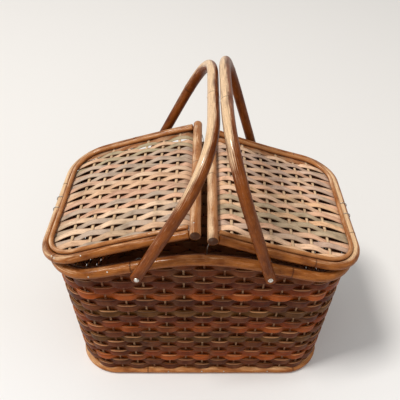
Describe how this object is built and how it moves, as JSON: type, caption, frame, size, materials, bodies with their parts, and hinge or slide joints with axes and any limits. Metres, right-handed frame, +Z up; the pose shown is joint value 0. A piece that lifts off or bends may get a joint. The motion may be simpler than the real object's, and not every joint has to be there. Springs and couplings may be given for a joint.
{
  "type": "pie basket",
  "caption": "Woven rattan basket with a bent pole rim, two domed lids hinged at its ends and two riveted bow handles that fold out to the sides.",
  "frame": {"origin": "under the middle of the basket, on the surface that the base ring stands on", "axes": "+X along the basket's length, +Y across it from front to back, +Z up"},
  "size_m": [0.4526, 0.3288, 0.4547],
  "materials": {
    "golden_rattan": "varnished bent rattan pole, golden brown with nodes",
    "pale_rattan": "varnished pale rattan pole with fine lengthways streaks",
    "handle_rattan": "smoked brown rattan pole, satin varnish, worn paler on top",
    "lid_weave": "flat pale splint weave, peach to grey green, matt",
    "wall_weave": "half round stained cane weave in dark brown and orange brown rows, satin",
    "stake_cane": "thin pale round cane, matt",
    "band_wood": "plain brown wood strip",
    "rivet_steel": "dull bright steel rivet",
    "wire_steel": "tarnished steel wire"
  },
  "bodies": {
    "basket": {"base_pole": "golden_rattan", "floor_panel": "lid_weave", "floor_batten_1": "band_wood", "floor_batten_2": "band_wood", "floor_batten_3": "band_wood", "woven_wall": "wall_weave", "wall_stakes": "stake_cane", "rim_pole": "golden_rattan", "rim_inner_band": "band_wood", "left_front_rivet": "rivet_steel", "left_back_rivet": "rivet_steel", "right_front_rivet": "rivet_steel", "right_back_rivet": "rivet_steel", "left_front_washer": "rivet_steel", "left_back_washer": "rivet_steel", "right_front_washer": "rivet_steel", "right_back_washer": "rivet_steel", "left_front_hinge_ring": "wire_steel", "left_back_hinge_ring": "wire_steel", "right_front_hinge_ring": "wire_steel", "right_back_hinge_ring": "wire_steel", "front_stay_wire": "wire_steel", "back_stay_wire": "wire_steel"},
    "left_lid": {"left_lid_frame": "golden_rattan", "left_lid_rod": "pale_rattan", "left_lid_panel": "lid_weave", "left_lid_binding": "pale_rattan", "left_lid_stake_1": "stake_cane", "left_lid_stake_2": "stake_cane", "left_lid_stake_3": "stake_cane", "left_lid_stake_4": "stake_cane", "left_lid_stake_5": "stake_cane", "left_lid_stake_6": "stake_cane"},
    "right_lid": {"right_lid_frame": "golden_rattan", "right_lid_rod": "pale_rattan", "right_lid_panel": "lid_weave", "right_lid_binding": "pale_rattan", "right_lid_stake_1": "stake_cane", "right_lid_stake_2": "stake_cane", "right_lid_stake_3": "stake_cane", "right_lid_stake_4": "stake_cane", "right_lid_stake_5": "stake_cane", "right_lid_stake_6": "stake_cane"},
    "left_handle": {"left_handle": "handle_rattan"},
    "right_handle": {"right_handle": "handle_rattan"}
  },
  "joints": [
    {"name": "left_lid_hinge", "type": "hinge", "parent": "basket", "child": "left_lid", "pos_m": [-0.219, 0, 0.25256], "axis": [0, -1, 0], "range_deg": [0, 180]},
    {"name": "right_lid_hinge", "type": "hinge", "parent": "basket", "child": "right_lid", "pos_m": [0.219, 0, 0.25256], "axis": [0, 1, 0], "range_deg": [0, 180]},
    {"name": "left_handle_swing", "type": "hinge", "parent": "basket", "child": "left_handle", "pos_m": [-0.0865, 0, 0.26177], "axis": [0, -1, 0], "range_deg": [0, 160.4]},
    {"name": "right_handle_swing", "type": "hinge", "parent": "basket", "child": "right_handle", "pos_m": [0.0865, 0, 0.26177], "axis": [0, 1, 0], "range_deg": [0, 150.7]}
  ]
}
